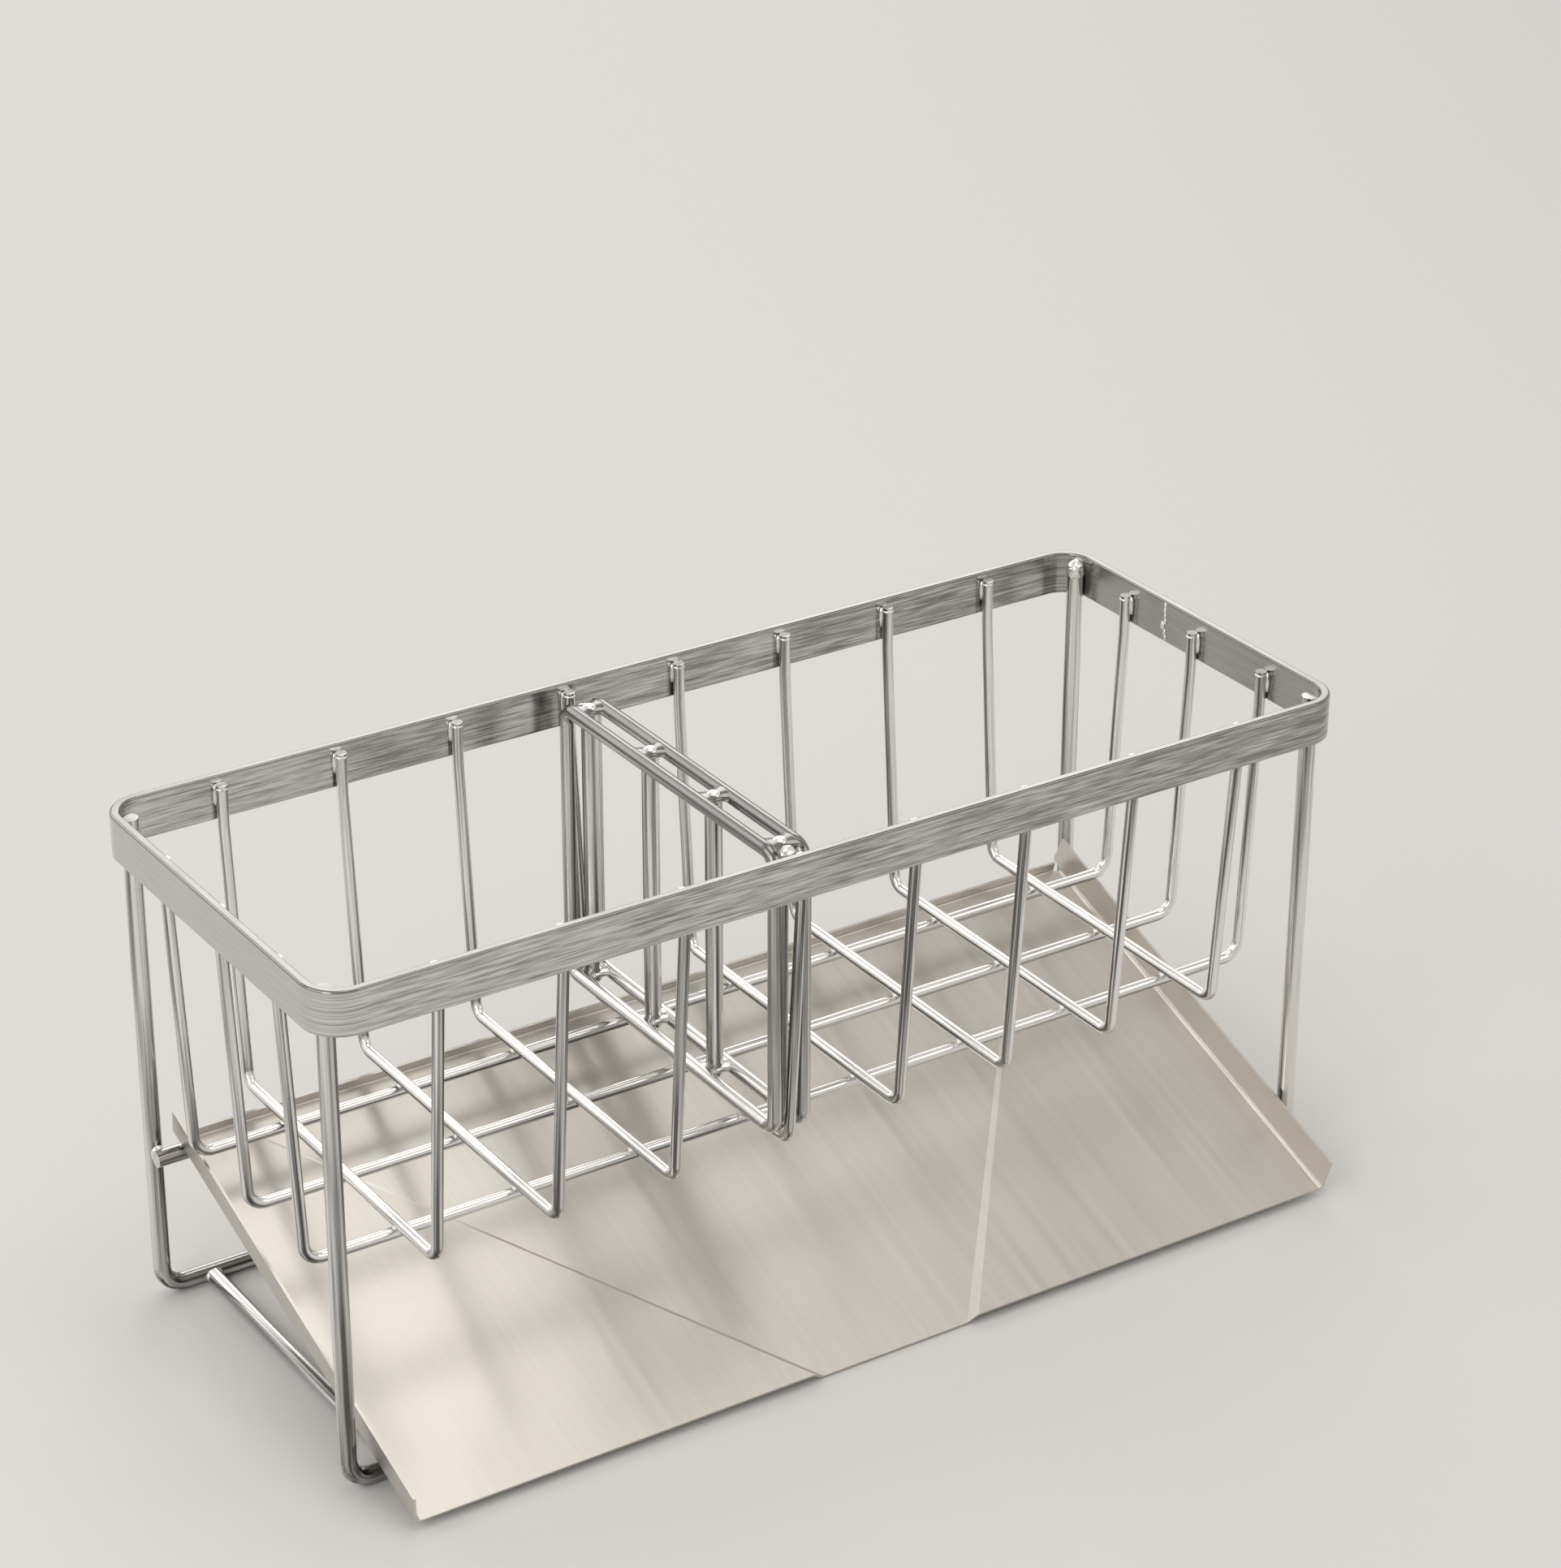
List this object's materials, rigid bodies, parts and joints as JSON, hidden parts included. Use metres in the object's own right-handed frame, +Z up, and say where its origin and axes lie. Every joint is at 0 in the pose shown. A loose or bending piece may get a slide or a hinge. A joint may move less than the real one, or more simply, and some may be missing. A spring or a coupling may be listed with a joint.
{
  "type": "kitchen sink caddy",
  "caption": "Stainless wire sink caddy: basket with a flat rim band on bent-wire legs, a lift-out wire divider, and a sloping drip tray that rests on a rear bar.",
  "frame": {"origin": "on the table, midway between the two leg frames and between the caddy's two ends", "axes": "+X along the caddy to its right end, +Y to the rear, +Z up; the tray drains to -Y"},
  "size_m": [0.298, 0.1355, 0.14],
  "materials": {
    "band_steel": "stainless flat bar, brushed along its length",
    "leg_steel": "polished stainless wire",
    "basket_steel": "polished stainless wire",
    "divider_steel": "polished stainless wire",
    "tray_steel": "satin stainless sheet"
  },
  "bodies": {
    "frame": {"rim_band": "band_steel", "rear_leg_frame": "leg_steel", "front_leg_frame": "leg_steel", "left_floor_runner": "leg_steel", "right_floor_runner": "leg_steel", "rear_tray_bar": "leg_steel", "cross_wire_1": "basket_steel", "cross_wire_2": "basket_steel", "cross_wire_3": "basket_steel", "cross_wire_4": "basket_steel", "cross_wire_5": "basket_steel", "cross_wire_6": "basket_steel", "cross_wire_7": "basket_steel", "cross_wire_8": "basket_steel", "long_wire_1": "basket_steel", "long_wire_2": "basket_steel", "long_wire_3": "basket_steel"},
    "divider": {"divider_left_loop": "divider_steel", "divider_right_loop": "divider_steel", "divider_rod_1": "divider_steel", "divider_rod_2": "divider_steel", "divider_rod_3": "divider_steel", "divider_rod_4": "divider_steel"},
    "tray": {"drip_tray": "tray_steel"}
  },
  "joints": [
    {"name": "divider_lift", "type": "slide", "parent": "frame", "child": "divider", "axis": [0, 0, 1], "range_m": [0, 0.085]},
    {"name": "tray_tilt", "type": "hinge", "parent": "frame", "child": "tray", "pos_m": [0, 0.0465, 0.0433], "axis": [-1, 0, 0], "range_deg": [0, 5]}
  ]
}
